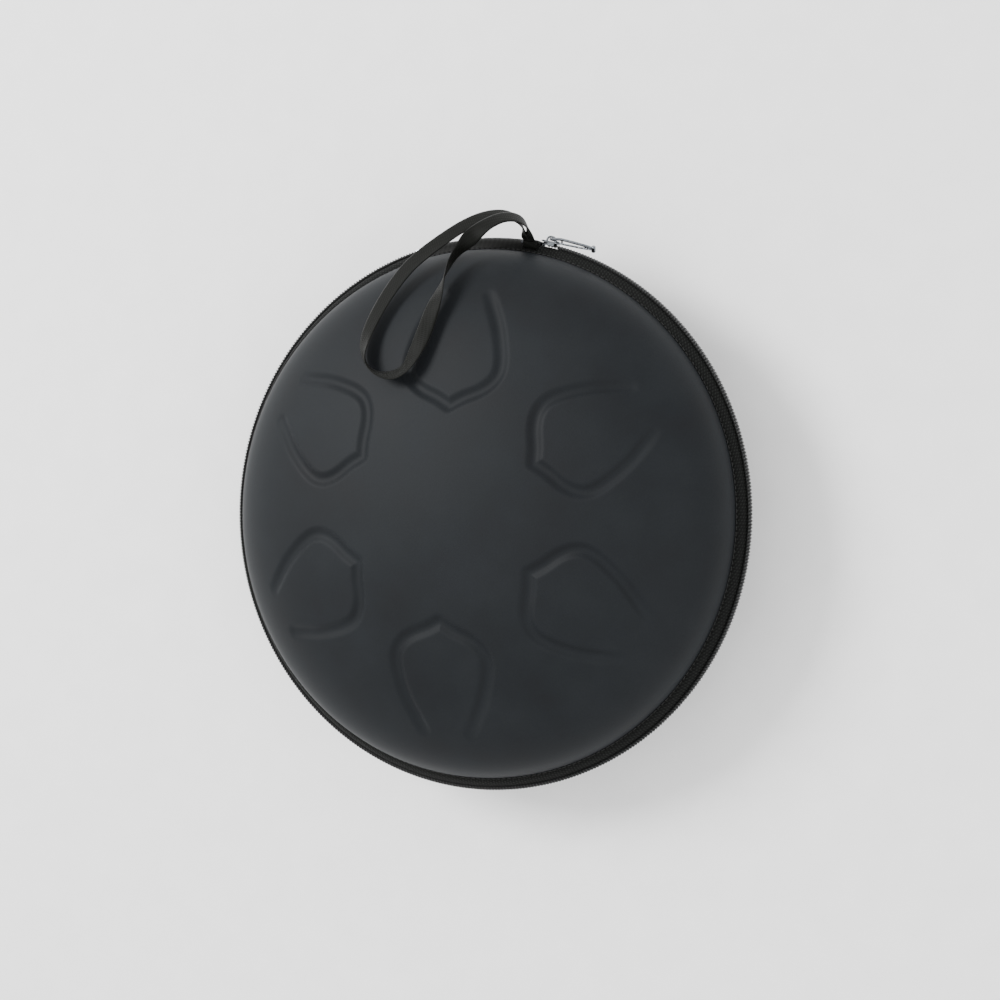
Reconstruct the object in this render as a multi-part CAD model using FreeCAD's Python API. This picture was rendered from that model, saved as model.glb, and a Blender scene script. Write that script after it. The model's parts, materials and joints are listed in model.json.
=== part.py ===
# Round zip case for a small handpan: two pressed foam shells, a coil zip round the rim, a sewn fabric
# hinge and a ribbon carrying loop. The case lies closed on its rear shell, front dome up.
# Everything is drawn about the rim's mid-plane (z = 0) and lifted to stand on z = 0 when it is written.
import FreeCAD, Part
import math
import os

V = FreeCAD.Vector

# Shells, mm. Both domes follow the same superellipse, from a vertical foot to a flat crown.
shell_radius = 163.1
front_height = 64.2
rear_depth = 64.2
dome_foot = 2.26
crown_power = 1.807
shoulder_power = 2.28
rear_flat_radius = 52.0
rear_flat_cut = 4.2
rear_flat_blend = 14.0
skin_thickness = 0.8
foam_thickness = 4.4
lining_thickness = 0.8
edge_height = 6.0

# Pressed petals on the front shell
petal_count = 6
petal_turn = 25.4
petal_tip_radius = 64.0
petal_end_margin = 31.5
petal_half_width = 29.5
groove_width = 6.6
groove_depth = 2.4
petal_tip_stretch = 1.15

# Zip, all round but for the hinge strip
fabric_thickness = 0.8
rim_overhang = 5.9
chain_gap = 1.2
coil_depth = 2.0
coil_height = 1.6
slider_gap = 0.8
zip_travel = 327.0
stop_length = 2.4
stop_proud = 0.3

# Fabric hinge at +Y
hinge_half_angle = 12.2
hinge_slack = 8.0
facing_thickness = 0.7
hinge_reach = 11.1
hinge_drop = 1.2
strip_tack_width = 2.2
strip_tack_height = 0.4

# Inner binding and the seam thread
binding_thickness = 0.7
binding_rise = 7.0
binding_lap = 1.5
thread_radius = 0.35
thread_stand_off = 0.5

# Slider and pull tab
slider_length = 10.0
slider_half_height = 3.7
plate_thickness = 1.2
plate_corner = 1.6
inner_plate_thickness = 1.0
inner_plate_half_height = 2.8
flange_thickness = 0.7
flange_reach = 1.7
web_length = 1.6
web_half_thickness = 0.3
web_setback = 0.4
bail_half_length = 3.2
bail_half_thickness = 0.8
bail_wall = 1.0
bail_corner = 1.4
bail_hole_half_length = 1.7
bail_hole_height = 2.4
pin_height = 1.3
pin_radius = 0.6
tab_half_width = 2.0
tab_thickness = 1.2
tab_length = 28.0
tab_eye_length = 6.0
tab_eye_radius = 0.9
tab_bridge = 1.5
tab_slot_half_width = 0.8
tab_slot_end = 21.0
tab_bead_radius = 1.5

# Ribbon loop: 10 mm wide and 1 mm thick, drawn as a round cord of the same section
ribbon_width = 10.0
ribbon_thickness = 1.0
strap_gap = 0.2
strap_stand_off = 0.05
strap_tack_half_width = 4.5
strap_tack_thickness = 2.4
strap_tack_low = 0.8
strap_tack_high = 8.0

# Clearances
zip_clearance = 0.5
arm_clearance = 0.4
end_clearance = 1.0

# Worked out from the sizes above
wall = skin_thickness + foam_thickness + lining_thickness
chain_half_gap = chain_gap / 2
along_edge = 0.9
arc_share = 0.45
ribbon_radius = math.sqrt(ribbon_width * ribbon_thickness / math.pi)

# The ribbon's route, from one sewn end over the dome and back to the other, about the rim's mid-plane
strap_route = [
    (38.6, 165.8, 8.0), (38.6, 165.8, 11.6), (39.8, 170.6, 15.0), (38.2, 176.2, 19.6),
    (32.0, 180.0, 25.2), (21.2, 179.2, 29.0), (9.0, 174.5, 33.0), (-5.0, 166.1, 36.5),
    (-17.6, 157.9, 38.4), (-27.6, 149.8, 40.6), (-38.8, 135.5, 43.8), (-47.0, 120.4, 48.2),
    (-51.8, 106.9, 52.3), (-51.0, 94.4, 56.2), (-43.1, 86.5, 59.2), (-30.3, 83.2, 61.2),
    (-21.8, 86.2, 61.1), (-16.4, 94.4, 59.4), (-10.9, 106.8, 56.2), (-6.9, 121.7, 51.8),
    (-3.0, 134.0, 48.2), (-0.4, 145.0, 44.2), (3.4, 154.2, 41.2), (10.4, 161.6, 39.6),
    (17.4, 168.0, 38.2), (24.0, 173.0, 35.8), (31.9, 176.6, 32.3), (38.4, 177.0, 28.2),
    (43.0, 174.4, 23.4), (44.2, 169.4, 18.2), (42.6, 164.8, 13.4), (42.6, 164.8, 8.0),
]


def dome_point(height, turn, offset):
    """A point (r, z) on a dome of this height, turn 0 at the crown and pi/2 at the foot, offset inwards."""
    def bare(t):
        r = shell_radius * math.sin(t) ** (2 / crown_power)
        z = dome_foot + (height - dome_foot) * math.cos(t) ** (2 / shoulder_power)
        return r, z
    step = 1e-4
    low, high = max(turn - step, 0.0), min(turn + step, math.pi / 2)
    r0, z0 = bare(low)
    r1, z1 = bare(high)
    length = math.hypot(r1 - r0, z1 - z0)
    r, z = bare(turn)
    return r + offset * (z1 - z0) / length, z - offset * (r1 - r0) / length


def turn_at(height, offset, wanted, axis):
    """The turn at which the offset dome reaches a radius (axis 0) or falls to a height (axis 1)."""
    low, high = 0.02, math.pi / 2 - 1e-3
    for _ in range(60):
        middle = (low + high) / 2
        value = dome_point(height, middle, offset)[axis]
        past = value > wanted if axis == 0 else value < wanted
        if past:
            high = middle
        else:
            low = middle
    return (low + high) / 2


def dome_profile(height, offset, flat, lowest, count=18):
    """Points (r, z) of a dome from crown to rim. flat is a (radius, height, blend) or None."""
    end = turn_at(height, offset, lowest, 1)
    if flat is None:
        points = [(0.0, height - offset)]
        start = 0.0
    else:
        radius, level, blend = flat
        points = [(radius, level - offset)]
        start = turn_at(height, offset, radius + blend, 0)
    for i in range(0 if flat else 1, count + 1):
        points.append(dome_point(height, start + (end - start) * i / count, offset))
    return points


def spline(points, first=None):
    """A smooth edge through (r, z) points in the XZ plane, leaving the first one flat where asked."""
    curve = Part.BSplineCurve()
    vectors = [V(r, 0, z) for r, z in points]
    if first is None:
        curve.interpolate(vectors)
    else:
        last = (vectors[-1] - vectors[-2]).normalize()
        curve.interpolate(Points=vectors, InitialTangent=first, FinalTangent=last)
    return curve.toShape()


def line(a, b):
    """A straight edge between two (r, z) points in the XZ plane."""
    return Part.makeLine(V(a[0], 0, a[1]), V(b[0], 0, b[1]))


def spin(edges, start=0.0, sweep=360.0):
    """Revolve a closed outline about Z, from a start angle."""
    face = Part.Face(Part.Wire(Part.__sortEdges__(edges)))
    solid = face.revolve(V(0, 0, 0), V(0, 0, 1), sweep)
    solid.rotate(V(0, 0, 0), V(0, 0, 1), start)
    if solid.Volume < 0:
        solid.reverse()
    return solid


def polygon(corners):
    """The straight edges round a closed outline in the XZ plane."""
    return [line(a, b) for a, b in zip(corners, corners[1:] + corners[:1])]


def mirrored(shape):
    """The same piece on the rear side of the mid-plane."""
    return shape.mirror(V(0, 0, 0), V(0, 0, 1))


def dome_edges(height, offset, flat):
    """The edges of a dome's profile, crown to rim, and its first and last points."""
    points = dome_profile(height, offset, flat, edge_height)
    edges = [spline(points, V(1, 0, 0))]
    first = points[0]
    if flat is not None:
        first = (0.0, points[0][1])
        edges.append(line(first, points[0]))
    return edges, first, points[-1]


def filled_dome(height, offset, flat=None):
    """Everything under the dome, down to the shell's edge."""
    edges, first, last = dome_edges(height, offset, flat)
    foot = (0.0, edge_height)
    return spin(edges + [line(last, foot), line(foot, first)])


def dome_layer(height, outer, inner, flat=None):
    """One layer of the shell's wall, between two offsets from its outside."""
    outer_edges, outer_first, outer_last = dome_edges(height, outer, flat)
    inner_edges, inner_first, inner_last = dome_edges(height, inner, flat)
    ends = [line(outer_first, inner_first), line(outer_last, inner_last)]
    return spin(outer_edges + inner_edges + ends)


# Petals: half of one petal's centre line, as shares of its length and half width, tip first
petal_shape = [(0.0, 0.0), (0.07, 0.29), (0.13, 0.61), (0.20, 0.84), (0.29, 0.975), (0.40, 1.0),
               (0.55, 0.94), (0.72, 0.82), (0.87, 0.66), (1.0, 0.52)]


def petal_line(shift):
    """Half a petal's line (along the radius, across it), shifted outwards from the petal's middle."""
    length = shell_radius - petal_end_margin - petal_tip_radius
    line_points = [(petal_tip_radius + length * s, petal_half_width * v) for s, v in petal_shape]
    shifted = []
    for i, (u, v) in enumerate(line_points):
        before = line_points[i - 1] if i else (u + (line_points[1][0] - u), -line_points[1][1])
        after = line_points[i + 1] if i + 1 < len(line_points) else (2 * u - before[0], 2 * v - before[1])
        du, dv = after[0] - before[0], after[1] - before[1]
        size = math.hypot(du, dv)
        shifted.append((u - shift * dv / size, v + shift * du / size))
    shifted[0] = (petal_tip_radius - shift * petal_tip_stretch, 0.0)
    return shifted


def petal_prism(half_width):
    """One petal's groove as an upright prism on the +X axis, open at its outer end."""
    edges = []
    ends = []
    for shift in (half_width, -half_width):
        half = [V(u, v, 0) for u, v in petal_line(shift)]
        for side in (1, -1):
            curve = Part.BSplineCurve()
            curve.interpolate([V(p.x, side * p.y, 0) for p in half])
            edges.append(curve.toShape())
        ends.append(half[-1])
    outer, inner = ends
    for side in (1, -1):
        a = V(outer.x, side * outer.y, 0)
        b = V(inner.x, side * inner.y, 0)
        across = (a - b).normalize()
        away = V(side * across.y, -side * across.x, 0)
        middle = (a + b) * 0.5 + away * half_width
        edges.append(Part.Arc(a, middle, b).toShape())
    face = Part.Face(Part.Wire(Part.__sortEdges__(edges)))
    return face.extrude(V(0, 0, front_height + end_clearance))


def petal_grooves(half_width, depth):
    """All petals' grooves, down to a depth under the front dome."""
    prism = petal_prism(half_width).cut(filled_dome(front_height, depth))
    grooves = []
    for i in range(petal_count):
        copy = prism.copy()
        copy.rotate(V(0, 0, 0), V(0, 0, 1), petal_turn + 360 * i / petal_count)
        grooves.append(copy)
    return Part.makeCompound(grooves)


def front_shell():
    """Skin, foam and lining of the domed front shell, with the petals pressed into skin and foam."""
    half = groove_width / 2
    outside = filled_dome(front_height, 0).cut(petal_grooves(half, groove_depth))
    grown = petal_grooves(half + skin_thickness, groove_depth + skin_thickness)
    core = filled_dome(front_height, skin_thickness).cut(grown)
    foam = core.cut(filled_dome(front_height, skin_thickness + foam_thickness))
    lining = dome_layer(front_height, wall - lining_thickness, wall)
    return {"front_skin": outside.cut(core), "front_foam": foam, "front_lining": lining}


def rear_shell():
    """Skin, foam and lining of the plain rear shell, with its flat resting face."""
    flat = (rear_flat_radius, rear_depth, rear_flat_blend)
    height = rear_depth + rear_flat_cut
    inner = skin_thickness + foam_thickness
    layers = {
        "rear_skin": (0, skin_thickness),
        "rear_foam": (skin_thickness, inner),
        "rear_lining": (inner, wall),
    }
    return {name: mirrored(dome_layer(height, a, b, flat)) for name, (a, b) in layers.items()}


def seam_radius(height):
    """Radius of the shell's outside at its edge."""
    return dome_point(height, turn_at(height, 0, edge_height, 1), 0)[0]


def ellipse_line(centre, reach, rise, low, high, count=9):
    """Points (r, z) on an ellipse about (centre, 0), between two heights, evenly round it."""
    start, end = math.asin(low / rise), math.asin(high / rise)
    turns = [start + (end - start) * i / count for i in range(count + 1)]
    return [(centre + reach * math.cos(t), rise * math.sin(t)) for t in turns]


def half_tape(height):
    """A zip tape: it swells out of the seam to the one coil circle, and turns in under the shell's edge."""
    seam = seam_radius(height)
    reach = seam_radius(front_height) + rim_overhang - seam
    inner = dome_point(height, turn_at(height, wall, edge_height, 1), wall)[0]
    under = edge_height - fabric_thickness
    outside = ellipse_line(seam, reach, edge_height, chain_half_gap, edge_height)
    inside = ellipse_line(seam, reach - fabric_thickness, under, chain_half_gap, under)
    edges = [spline(outside), spline(inside), line(outside[0], inside[0])]
    edges += [line(outside[-1], (inner, edge_height)), line((inner, edge_height), (inner, under))]
    edges.append(line((inner, under), inside[-1]))
    return spin(edges, 90 + hinge_half_angle, 360 - 2 * hinge_half_angle)


def half_binding(height):
    """The binding sewn inside the rim, over the lining's edge and the tape's."""
    seam = seam_radius(height)
    under = edge_height - fabric_thickness
    low = under - binding_thickness
    faces = []
    for offset in (wall, wall + binding_thickness):
        points = dome_profile(height, offset, None, edge_height, 60)
        faces.append([p for p in points if p[1] < edge_height + binding_rise][::3] + [points[-1]])
    back, front = faces
    rim = back[-1][0]
    outer = seam - binding_lap
    corners = [back[-1], (rim, under), (outer, under), (outer, low), (front[-1][0], low), front[-1]]
    edges = [spline(back[:-2] + back[-1:]), spline(front[:-2] + front[-1:]), line(back[0], front[0])]
    edges += [line(a, b) for a, b in zip(corners, corners[1:])]
    return spin(edges)


def coil_ring(start, end):
    """One side's coil, as a ring of its outer size, from one angle anticlockwise to another."""
    inner = seam_radius(front_height) + rim_overhang
    outer = inner + coil_depth
    low = chain_half_gap
    high = low + coil_height
    box = [(inner, low), (outer, low), (outer, high), (inner, high)]
    return spin(polygon(box), start, end - start)


def strap_angle():
    """Where the ribbon's root sits on the rim, just clear of the hinge strip's end."""
    inner = seam_radius(front_height) + rim_overhang
    return 90 - hinge_half_angle - math.degrees((strap_tack_half_width + strap_gap) / inner)


def slider_angle():
    """Where the parked slider sits, just clear of the ribbon's root."""
    inner = seam_radius(front_height) + rim_overhang
    away = strap_tack_half_width + slider_gap + slider_length / 2
    return strap_angle() - math.degrees(away / inner)


def chain_stop(start):
    """A small metal stop clamped over the end of one coil."""
    inner = seam_radius(front_height) + rim_overhang
    outer = inner + coil_depth + stop_proud
    low = chain_half_gap
    high = low + coil_height + stop_proud
    box = [(inner, low), (outer, low), (outer, high), (inner, high)]
    return spin(polygon(box), start, math.degrees(stop_length / inner))


def seam_thread(height):
    """The sewing thread that lies in the groove between shell and tape."""
    ring = Part.makeTorus(seam_radius(height) + thread_stand_off, thread_radius)
    ring.translate(V(0, 0, edge_height + thread_radius))
    return ring


def zip_pieces():
    """Tapes, coils, stops, bindings and seam threads of both halves."""
    rear_height = rear_depth + rear_flat_cut
    inner = seam_radius(front_height) + rim_overhang
    half_slider = math.degrees(slider_length / 2 / inner)
    play = math.degrees(end_clearance / inner)
    stop_sweep = math.degrees(stop_length / inner)
    left = 90 + hinge_half_angle
    coil_left = left + stop_sweep
    nose = slider_angle() + half_slider
    tail = slider_angle() - half_slider
    pieces = {
        "front_tape": half_tape(front_height),
        "rear_tape": mirrored(half_tape(rear_height)),
        "front_binding": half_binding(front_height),
        "rear_binding": mirrored(half_binding(rear_height)),
        "front_coil": coil_ring(coil_left, 360 + tail - play),
        "rear_coil": mirrored(coil_ring(coil_left, 360 + nose)),
        "front_end_stop": chain_stop(left),
        "rear_end_stop": mirrored(chain_stop(left)),
        "rear_top_stop": mirrored(chain_stop(nose)),
        "front_seam_thread": seam_thread(front_height),
        "rear_seam_thread": mirrored(seam_thread(rear_height)),
    }
    return pieces


def strip_band(centre, reach, rise, thickness, start, sweep):
    """A band of cloth bulging from seam to seam, as a layer outside or inside an ellipse."""
    outer = ellipse_line(centre, reach, rise, -rise, rise, 16)
    low_rise = rise - thickness
    inner = ellipse_line(centre, reach - thickness, low_rise, -low_rise, low_rise, 16)
    edges = [spline(outer), spline(inner), line(outer[0], inner[0]), line(outer[-1], inner[-1])]
    return spin(edges, start, sweep)


def hem(height, start, sweep):
    """The strip's edge turned in under one shell, on the front side of the mid-plane."""
    inner = dome_point(height, turn_at(height, wall, edge_height, 1), wall)[0]
    under = edge_height - fabric_thickness
    seam = seam_radius(front_height)
    lap = [(inner, under), (seam, under), (seam, edge_height), (inner, edge_height)]
    return spin(polygon(lap), start, sweep)


def hinge_pieces():
    """The outer hinge strip, its inner facing and the two bar tacks that end it."""
    seam = seam_radius(front_height)
    under = edge_height - fabric_thickness
    start = 90 - hinge_half_angle
    sweep = 2 * hinge_half_angle
    band = strip_band(seam, hinge_slack, edge_height, fabric_thickness, start, sweep)
    rear_hem = mirrored(hem(rear_depth + rear_flat_cut, start, sweep))
    strip = band.fuse([hem(front_height, start, sweep), rear_hem]).removeSplitter()
    facing = strip_band(seam, hinge_slack - fabric_thickness, under, facing_thickness, start, sweep)
    tack_sweep = math.degrees(strip_tack_width / shell_radius)
    tacks = []
    for angle in (start, start + sweep - tack_sweep):
        rise = edge_height - binding_lap
        proud = strip_tack_height
        outer = ellipse_line(seam, hinge_slack + proud, edge_height + proud, -rise, rise)
        low = ellipse_line(seam, hinge_slack, edge_height, -rise, rise)
        edges = [spline(outer), spline(low), line(outer[0], low[0]), line(outer[-1], low[-1])]
        tacks.append(spin(edges, angle, tack_sweep))
    return {
        "hinge_strip": strip,
        "hinge_facing": facing,
        "strip_tack_right": tacks[0],
        "strip_tack_left": tacks[1],
    }


def block(r0, r1, t0, t1, z0, z1):
    """A block given by its radial, tangential and upright limits, at angle 0."""
    return Part.makeBox(r1 - r0, t1 - t0, z1 - z0, V(r0, t0, z0))


def to_angle(shape, angle):
    """Turn a piece drawn at angle 0 round to its place on the rim."""
    shape.rotate(V(0, 0, 0), V(0, 0, 1), angle)
    return shape


def runs_along(edge, axis):
    """Whether an edge starts out along an axis."""
    return abs(edge.tangentAt(edge.FirstParameter).dot(axis)) > along_edge


def slider_pieces():
    """The slider: a flanged outer plate, an inner plate and the web between the coils, with its bail."""
    coil_inner = seam_radius(front_height) + rim_overhang
    plate = coil_inner + coil_depth + zip_clearance
    half = slider_length / 2
    top = slider_half_height
    ledge = inner_plate_half_height
    depth = math.sqrt(1 - (ledge / (edge_height - fabric_thickness)) ** 2)
    behind = seam_radius(front_height) + (rim_overhang - fabric_thickness) * depth - zip_clearance
    outer = block(plate, plate + plate_thickness, -half, half, -top, top)
    corners = [e for e in outer.Edges if runs_along(e, V(1, 0, 0))]
    outer = outer.makeFillet(plate_corner, corners)
    inner = block(behind - inner_plate_thickness, behind, -half, half, -ledge, ledge)
    lip = plate - flange_reach
    edge = half - plate_corner
    flange = block(lip, plate, -edge, edge, top - flange_thickness, top)
    low_flange = block(lip, plate, -edge, edge, -top, flange_thickness - top)
    web_end = half - web_setback
    web = block(behind, plate, web_end - web_length, web_end, -web_half_thickness, web_half_thickness)
    body = outer.fuse([inner, flange, low_flange, web]).removeSplitter()
    floor = plate + plate_thickness
    roof = floor + bail_hole_height
    thick = bail_half_thickness
    bail = block(floor, roof + bail_wall, -bail_half_length, bail_half_length, -thick, thick)
    ends = [e for e in bail.Edges if runs_along(e, V(0, 0, 1)) and e.CenterOfMass.x > roof]
    bail = bail.makeFillet(bail_corner, ends)
    hole = bail_hole_half_length
    bail = bail.cut(block(floor, roof, -hole, hole, -thick, thick))
    return {"slider_body": to_angle(body, slider_angle()), "slider_bail": to_angle(bail, slider_angle())}


def pull_tab():
    """The pull tab: a slim frame with an eye round the bail and a bead at its free end."""
    coil_inner = seam_radius(front_height) + rim_overhang
    pivot = coil_inner + coil_depth + zip_clearance + plate_thickness + pin_height
    inside = bail_half_thickness + arm_clearance
    half = tab_thickness / 2
    wide = tab_half_width
    tab = block(pivot - half, pivot + half, -tab_length, 0, -wide, wide)
    for side in (inside, -wide):
        tab = tab.fuse(Part.makeCylinder(tab_eye_radius, wide - inside, V(pivot, 0, side), V(0, 0, 1)))
    deep = 2 * tab_eye_radius
    tab = tab.cut(block(pivot - deep, pivot + deep, -tab_eye_length, deep, -inside, inside))
    slot = tab_slot_half_width
    slot_start = -tab_eye_length - tab_bridge
    tab = tab.cut(block(pivot - deep, pivot + deep, -tab_slot_end, slot_start, -slot, slot))
    pin = Part.makeCylinder(pin_radius, 2 * wide, V(pivot, 0, -wide), V(0, 0, 1))
    bead = Part.makeCylinder(tab_bead_radius, 2 * wide, V(pivot, -tab_length, -wide), V(0, 0, 1))
    tab = tab.fuse([pin, bead]).removeSplitter()
    return to_angle(tab, slider_angle()), pivot


def strap_tack():
    """The sewn root of the ribbon loop, both ends of the ribbon lying on the front tape."""
    inner = seam_radius(front_height) + rim_overhang + strap_stand_off
    half = strap_tack_half_width
    tack = block(inner, inner + strap_tack_thickness, -half, half, strap_tack_low, strap_tack_high)
    return to_angle(tack, strap_angle())


def cord(points, radius):
    """A round cord along straight runs joined by tangent arcs, each as large as its runs allow."""
    vectors = [V(*p) for p in points]
    edges = []
    radii = []
    start = vectors[0]
    for before, corner, after in zip(vectors, vectors[1:], vectors[2:]):
        shorter = min((corner - before).Length, (after - corner).Length)
        reach = arc_share * shorter
        back = (before - corner).normalize() * reach
        ahead = (after - corner).normalize() * reach
        half_turn = (math.pi - back.getAngle(ahead)) / 2
        arc_radius = reach / math.tan(half_turn)
        radii.append(arc_radius)
        middle = (back + ahead).normalize() * (reach / math.sin(half_turn) - arc_radius)
        edges.append(Part.LineSegment(start, corner + back).toShape())
        edges.append(Part.Arc(corner + back, corner + middle, corner + ahead).toShape())
        start = corner + ahead
    edges.append(Part.LineSegment(start, vectors[-1]).toShape())
    path = Part.Wire(edges)
    direction = (vectors[1] - vectors[0]).normalize()
    ring = Part.Wire(Part.makeCircle(radius, vectors[0], direction))
    solid = path.makePipeShell([ring], True, False)
    expected = math.pi * radius ** 2 * path.Length
    print("cord radii, mm:", [round(r, 1) for r in radii])
    print(f"cord length {path.Length:.1f} mm, volume {solid.Volume:.0f} of {expected:.0f} mm3")
    return solid


def main():
    os.makedirs("parts", exist_ok=True)
    pieces = {}
    pieces.update(front_shell())
    pieces.update(rear_shell())
    pieces.update(zip_pieces())
    pieces.update(hinge_pieces())
    pieces.update(slider_pieces())
    tab, pivot = pull_tab()
    pieces["pull_tab"] = tab
    pieces["strap_tack"] = strap_tack()
    pieces["strap_loop"] = cord(strap_route, ribbon_radius)
    for name, shape in pieces.items():
        shape.translate(V(0, 0, rear_depth))
        if not shape.isValid() or shape.Volume <= 0:
            print("check this piece:", name, shape.isValid(), shape.Volume)
        shape.exportStep(f"parts/{name}.step")
    turn = math.radians(slider_angle())
    print(f"lid hinge at y {seam_radius(front_height) + hinge_reach:.3f}, z {rear_depth - hinge_drop:.3f}")
    print(f"zip axis at z {rear_depth:.3f}, travel {zip_travel:.1f} deg clockwise from above")
    pull_x, pull_y = pivot * math.cos(turn), pivot * math.sin(turn)
    print(f"pull pivot at x {pull_x:.3f}, y {pull_y:.3f}, z {rear_depth:.3f}")


main()
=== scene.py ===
"""Looks of a round zip case: pressed shells, woven tapes, nylon coils, a ribbon loop, a nickel slider."""

import json
import math

import bmesh
import bpy
import numpy as np
from mathutils import Matrix, Vector


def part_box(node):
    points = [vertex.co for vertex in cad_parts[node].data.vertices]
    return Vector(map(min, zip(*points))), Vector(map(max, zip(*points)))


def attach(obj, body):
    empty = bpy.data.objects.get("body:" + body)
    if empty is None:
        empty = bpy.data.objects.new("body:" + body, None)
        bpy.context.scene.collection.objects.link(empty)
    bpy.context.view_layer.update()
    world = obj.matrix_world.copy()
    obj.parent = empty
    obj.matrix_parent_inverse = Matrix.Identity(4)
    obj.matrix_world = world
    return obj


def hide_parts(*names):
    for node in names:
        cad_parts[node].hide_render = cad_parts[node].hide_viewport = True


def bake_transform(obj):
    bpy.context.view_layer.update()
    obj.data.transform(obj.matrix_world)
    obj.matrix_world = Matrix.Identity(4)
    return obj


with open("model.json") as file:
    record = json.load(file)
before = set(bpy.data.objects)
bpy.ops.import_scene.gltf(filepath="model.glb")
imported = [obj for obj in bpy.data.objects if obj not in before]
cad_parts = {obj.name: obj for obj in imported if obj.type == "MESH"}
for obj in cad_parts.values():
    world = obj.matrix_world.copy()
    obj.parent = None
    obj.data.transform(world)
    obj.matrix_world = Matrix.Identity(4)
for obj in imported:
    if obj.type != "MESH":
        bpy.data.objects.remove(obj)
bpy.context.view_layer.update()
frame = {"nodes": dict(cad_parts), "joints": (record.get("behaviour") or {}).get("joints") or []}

# Sizes are in millimetres about the rim's mid-plane; make_mesh turns them to metres on the resting face
MM = 0.001
MID_HEIGHT = (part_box("rear_tape")[0].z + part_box("front_tape")[1].z) / 2 / MM

# The shells: a flattened dome in front, the same with a flat resting face behind
SHELL_RADIUS = 163.1
DOME_FOOT = 2.26
CROWN_POWER = 1.807
SHOULDER_POWER = 2.28
EDGE_HEIGHT = 6.0
FRONT_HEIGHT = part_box("front_skin")[1].z / MM - MID_HEIGHT
REAR_FLAT_CUT = 4.2
REAR_HEIGHT = MID_HEIGHT + REAR_FLAT_CUT
REAR_FLAT_RADIUS = 52.0
REAR_FLAT_BLEND = 14.0
FOAM_INSIDE = 5.2
WALL = 6.0

# The petals: half of one outline as shares of its length and half width, and the groove pressed along it
PETALS = 6
GROOVED_BAND = (58.0, 141.0, 84)  # the radii they lie between, and how many rings of points cross it
PETAL_TURN = math.radians(25.4)
PETAL_TIP = 64.0
PETAL_END = 131.6
PETAL_HALF_WIDTH = 29.5
PETAL_SHAPE = [(0.0, 0.0), (0.07, 0.29), (0.13, 0.61), (0.20, 0.84), (0.29, 0.975), (0.40, 1.0),
               (0.55, 0.94), (0.72, 0.82), (0.87, 0.66), (1.0, 0.52)]
GROOVE_FLAT = 0.6
GROOVE_EDGE = 4.7
GROOVE_FADE = (122.0, 137.0)
GROOVE_DEPTH = 1.7

# The rim: tapes, hinge cloth, and coils whose long loops cross the mid-plane
TAPE_REACH = 5.9
TAPE_THICKNESS = 0.8
CHAIN_HALF_GAP = 0.1
HINGE_START = math.pi / 2 - math.radians(12.2)
HINGE_END = math.pi / 2 + math.radians(12.2)
HINGE_SLACK = 8.0
COIL_PITCH = 2.0
COIL_DEPTH = 2.0
WIRE_RADIUS = 0.44
LOOP_HALF_DEPTH = 1.2
LOOP_MIDDLE = 1.05
LOOP_REACH = 1.25
LINING_SLACK = 0.2

TURN = 2 * math.pi
UP = np.array([0.0, 0.0, 1.0])
# A wave texture repeats after this distance at a scale of 1
WAVE_STEP = 0.31416


def linear(hex_colour):
    """An sRGB hex colour as the linear RGBA that a shader takes."""
    parts = [int(hex_colour[i:i + 2], 16) / 255 for i in (1, 3, 5)]
    return (*[c / 12.92 if c <= 0.04045 else ((c + 0.055) / 1.055) ** 2.4 for c in parts], 1.0)


def add(tree, kind, sockets=None, stops=None, **settings):
    """Adds a node: sockets hold its inputs' values or links, stops a ramp's (place, hex colour) pairs."""
    node = tree.nodes.new("ShaderNode" + kind)
    for name, value in settings.items():
        setattr(node, name, value)
    for i, (place, colour) in enumerate(stops or []):
        stop = node.color_ramp.elements[i] if i < 2 else node.color_ramp.elements.new(place)
        stop.position, stop.color = place, linear(colour)
    for key, value in (sockets or {}).items():
        if isinstance(value, bpy.types.NodeSocket):
            tree.links.new(value, node.inputs[key])
        else:
            node.inputs[key].default_value = value
    return node


def new_material(name):
    """An empty material and its tree."""
    material = bpy.data.materials.new(name)
    material.use_nodes = True
    material.node_tree.nodes.clear()
    return material, material.node_tree


def close(tree, colour, roughness, height, bump, **fixed):
    """Ends a tree: a principled shader with its colour, roughness and bump, in millimetres of relief."""
    normal = add(tree, "Bump", {"Height": height, "Strength": 1.0, "Distance": bump * MM})
    sockets = {"Base Color": colour, "Roughness": roughness, "Normal": normal.outputs[0]}
    sockets.update(fixed)
    shader = add(tree, "BsdfPrincipled", sockets)
    add(tree, "OutputMaterial", {"Surface": shader.outputs[0]})


def coated_fabric():
    """Polyurethane-coated knit, hot-pressed on foam: a fine matte grain, a soft broad sheen, faint clouds."""
    grain_mm, cloud_mm = 0.55, 38.0
    material, tree = new_material("polyurethane_coated_knit_pressed")
    place = add(tree, "TexCoord").outputs["Object"]
    grain = add(tree, "TexVoronoi", {"Vector": place, "Scale": 1 / (grain_mm * MM)}, feature="F1")
    clouds = add(tree, "TexNoise", {"Vector": place, "Scale": 1 / (cloud_mm * MM), "Detail": 3.0})
    fine = add(tree, "TexNoise", {"Vector": place, "Scale": 1 / (1.4 * MM), "Detail": 2.0})
    tone = add(tree, "Mix", {"Factor": 0.2, "A": clouds.outputs[0], "B": fine.outputs[0]})
    stops = [(0.3, "#0e1013"), (0.7, "#15181b"), (0.5, "#111417")]
    colour = add(tree, "ValToRGB", {"Fac": tone.outputs[0]}, stops)
    roughness = add(tree, "MapRange", {"Value": clouds.outputs[0], "To Min": 0.54, "To Max": 0.66})
    close(tree, colour.outputs[0], roughness.outputs[0], grain.outputs["Distance"], 0.03,
          **{"Specular IOR Level": 0.15, "Sheen Weight": 0.02, "Sheen Roughness": 0.5,
             "Sheen Tint": linear("#8f979f")})
    return material


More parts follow.
